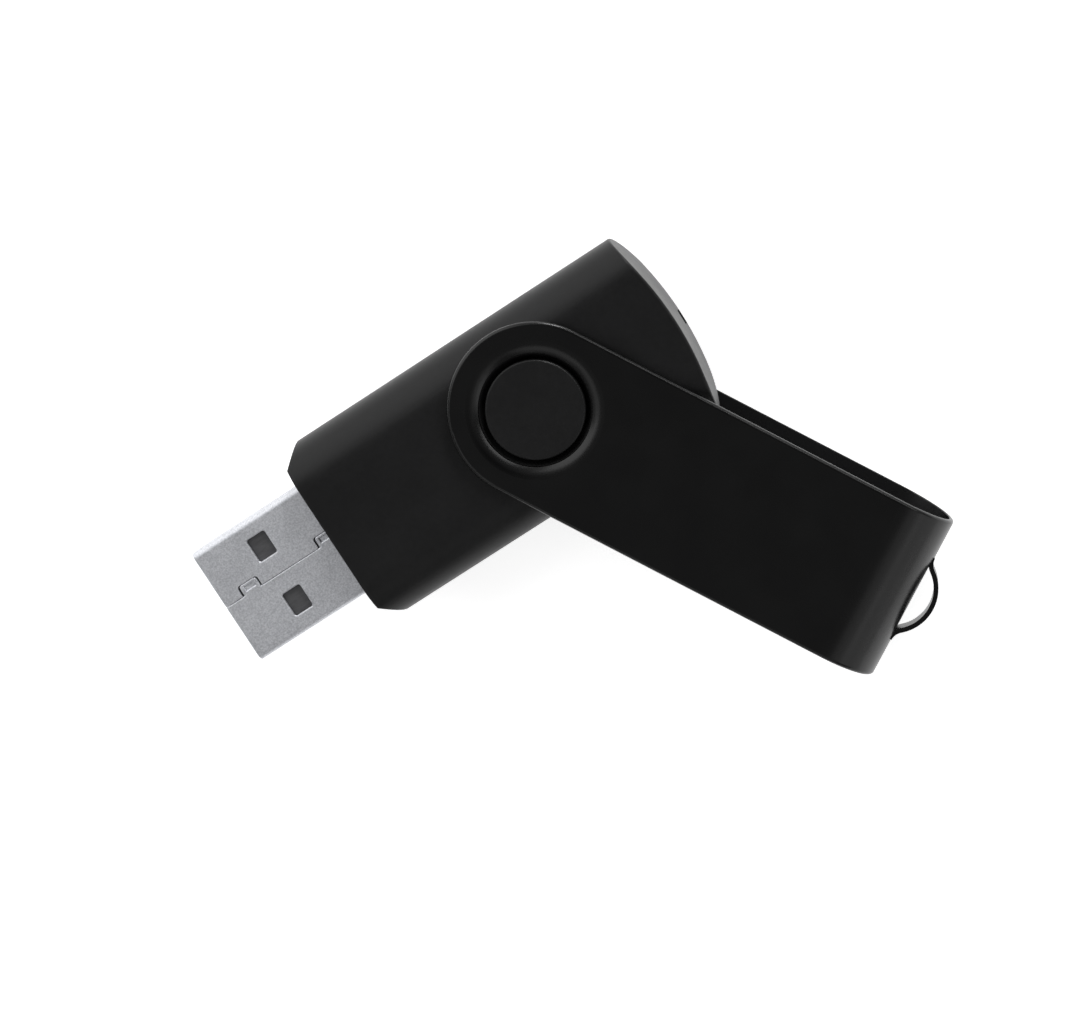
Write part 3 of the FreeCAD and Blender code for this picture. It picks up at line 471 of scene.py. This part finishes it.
solder, tree, shader, place = start_finish("solder")
shader.inputs["Metallic"].default_value = 1.0
bloom = noise(tree, place, 0.3 * MM, 4)
set_tones(tree, shader, bloom, (0.50, 0.50, 0.49), (0.72, 0.72, 0.70), NARROW)
set_sheen(tree, shader, bloom, 0.20, 0.45, NARROW)
set_relief(tree, shader, bloom, 0.02 * MM, 0.5)
give(solder, "contact_solder", "shell_solder")

# %% [markdown]
# ## The chips and their legs
# Chips are cast in black epoxy filled with ground glass, which gives a dull surface full of
# fine specks. Their legs are tinned copper, drawn and bent, so their scratches run along them.

# %% Chip epoxy and tinned leads
epoxy, tree, shader, place = start_finish("chip_epoxy")
filler = noise(tree, place, 0.06 * MM, 2)
tone = noise(tree, place, 1.5 * MM, 3)
set_tones(tree, shader, mix(tree, tone, filler, 0.5), (0.012, 0.012, 0.013),
          (0.026, 0.026, 0.027), NARROW)
set_sheen(tree, shader, tone, 0.52, 0.66, WIDE)
set_relief(tree, shader, filler, 0.008 * MM, 0.6)
give(epoxy, "flash_memory_chip", "controller_chip", "voltage_regulator")

tin, tree, shader, place = start_finish("lead_tin")
shader.inputs["Metallic"].default_value = 1.0
drawn = noise(tree, place, 0.04 * MM, 2, stretch=(1, 1, 0.2))
set_tones(tree, shader, drawn, (0.58, 0.58, 0.57), (0.74, 0.74, 0.72), WIDE)
set_sheen(tree, shader, drawn, 0.25, 0.42, WIDE)
set_relief(tree, shader, drawn, 0.003 * MM, 0.5)
give(tin, "flash_memory_leads", "controller_leads", "regulator_leads")

# %% [markdown]
# ## Crystal, lamp and the small chip parts
# The clock crystal sits in a drawn nickel can with brush marks. The lamp is a drop of milky
# resin. Resistors and capacitors are ceramic chips with tinned ends: both finishes are on one
# piece, so the shader asks how far along the piece a point lies, from 0 at one end to 1.

# %% Crystal can and lamp
can, tree, shader, place = start_finish("crystal_metal")
shader.inputs["Metallic"].default_value = 1.0
brushed = noise(tree, place, 0.04 * MM, 3, stretch=(0.05, 1, 1))
set_tones(tree, shader, brushed, (0.60, 0.59, 0.55), (0.76, 0.75, 0.70), WIDE)
set_sheen(tree, shader, brushed, 0.20, 0.34, WIDE)
set_relief(tree, shader, brushed, 0.003 * MM, 0.5)
give(can, "crystal_oscillator")

lens, tree, shader, place = start_finish("led_lens")
shader.inputs["Transmission Weight"].default_value = 0.35
milk = noise(tree, place, 0.25 * MM, 3)
set_tones(tree, shader, milk, (0.62, 0.66, 0.60), (0.80, 0.82, 0.74), WIDE)
set_sheen(tree, shader, milk, 0.18, 0.32, WIDE)
set_relief(tree, shader, milk, 0.006 * MM, 0.4)
give(lens, "activity_led")


# %% Ceramic chips with tinned ends
MIDDLE = 0.5
END_SHARE = 0.19             # the part of the length that each tinned end covers
END_FADE = 0.01              # half the width over which the tin fades into the ceramic
TINNED = (0.66, 0.66, 0.64)


def chip_finish(name, dark, light):
    """Ceramic body between two tinned ends."""
    material, tree, shader, place = start_finish(name)
    along = tree.nodes.new("ShaderNodeSeparateXYZ")
    tree.links.new(tree.nodes["Texture Coordinate"].outputs["Generated"], along.inputs[0])
    from_middle = combine(tree, "ABSOLUTE",
                          combine(tree, "SUBTRACT", along.outputs["X"], MIDDLE))
    tin_edge = MIDDLE - END_SHARE
    ends = spread(tree, from_middle, 0.0, 1.0, (tin_edge - END_FADE, tin_edge + END_FADE))
    fired = noise(tree, place, 0.12 * MM, 3)
    body = two_tone(tree, fired, dark, light, WIDE)
    tree.links.new(blend_colours(tree, ends, body, TINNED), shader.inputs["Base Color"])
    tree.links.new(ends, shader.inputs["Metallic"])
    set_sheen(tree, shader, fired, 0.32, 0.48, WIDE)
    set_relief(tree, shader, fired, 0.008 * MM, 0.5)
    return material


resistors = [name for name in NODES if name.startswith("resistor_")]
capacitors = [name for name in NODES if name.startswith("capacitor_")]
give(chip_finish("resistor_ceramic", (0.010, 0.010, 0.011), (0.022, 0.022, 0.023)), *resistors)
give(chip_finish("capacitor_ceramic", (0.34, 0.22, 0.12), (0.46, 0.31, 0.18)), *capacitors)
print("pieces without a finish:", sorted(set(NODES) - finished))
